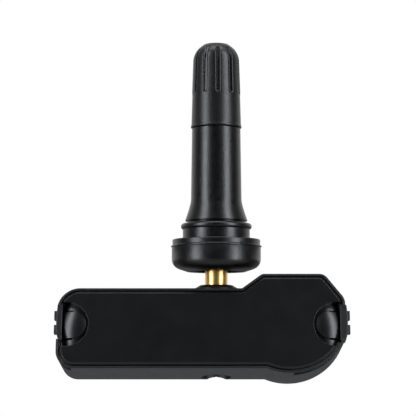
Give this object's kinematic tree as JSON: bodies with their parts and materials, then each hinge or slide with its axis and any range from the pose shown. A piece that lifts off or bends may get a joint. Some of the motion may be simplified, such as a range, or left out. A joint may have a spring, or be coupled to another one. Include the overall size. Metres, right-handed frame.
{
  "type": "tyre pressure sensor",
  "caption": "Tyre pressure sensor on a snap-in rubber valve: brass stem with core and screw cap, and a leaning plastic housing with cover, board and battery inside.",
  "frame": {"origin": "on the valve's axis, in the face of the rubber flange that seats against the inside of the rim", "axes": "+Z along the valve's axis towards the cap, -Y to the side that the housing's cover faces, +X towards the round battery end"},
  "size_m": [0.0645, 0.0213, 0.0766],
  "materials": {
    "valve_rubber": "satin black moulded rubber",
    "cap_plastic": "satin black moulded plastic",
    "seal_rubber": "soft black rubber",
    "stem_brass": "turned brass",
    "core_seal": "red-brown core seal",
    "bright_steel": "plated steel",
    "housing_plastic": "black glass-filled plastic, finely grained",
    "cover_plastic": "matt black plastic, smooth",
    "board_laminate": "green laminate",
    "nickel_strip": "nickel plated",
    "chip_plastic": "black moulded package",
    "gasket_rubber": "grey silicone",
    "filter_membrane": "white membrane",
    "capacitor_ceramic": "fired ceramic with plated ends",
    "ferrite": "dark ferrite",
    "copper_wire": "enamelled copper winding",
    "antenna_brass": "plain brass strip"
  },
  "bodies": {
    "sensor": {"valve_stem": "stem_brass", "rubber_stem": "valve_rubber", "core_plug": "stem_brass", "core_ring": "core_seal", "core_barrel": "stem_brass", "core_spring": "bright_steel", "stem_screw": "bright_steel", "housing": "housing_plastic", "front_cover": "cover_plastic", "circuit_board": "board_laminate", "battery_cell": "bright_steel", "tab_positive": "nickel_strip", "tab_negative": "nickel_strip", "pressure_chip": "chip_plastic", "port_gasket": "gasket_rubber", "port_filter": "filter_membrane", "transmitter_chip": "chip_plastic", "crystal": "nickel_strip", "board_capacitors": "capacitor_ceramic", "coil_core": "ferrite", "coil_winding": "copper_wire", "loop_antenna": "antenna_brass"},
    "cap_lift": {"cap_seal": "seal_rubber"},
    "cap": {"valve_cap": "cap_plastic"},
    "pin": {"core_pin": "bright_steel", "core_poppet": "core_seal"}
  },
  "joints": [
    {"name": "cap_travel", "type": "slide", "parent": "sensor", "child": "cap_lift", "axis": [0, 0, 1], "range_m": [0, 0.007]},
    {"name": "cap_turn", "type": "hinge", "parent": "cap_lift", "child": "cap", "pos_m": [0, 0, 0.0251], "axis": [0, 0, 1], "range_deg": [0, 3168]},
    {"name": "pin_press", "type": "slide", "parent": "sensor", "child": "pin", "axis": [0, 0, 1], "range_m": [-0.0012, 0], "stiffness_N_per_m": 800, "deforming": ["core_spring"]}
  ],
  "couplings": [
    {"joint": "cap_travel", "follows": "cap_turn", "m_per_rad": 0.00012637}
  ]
}
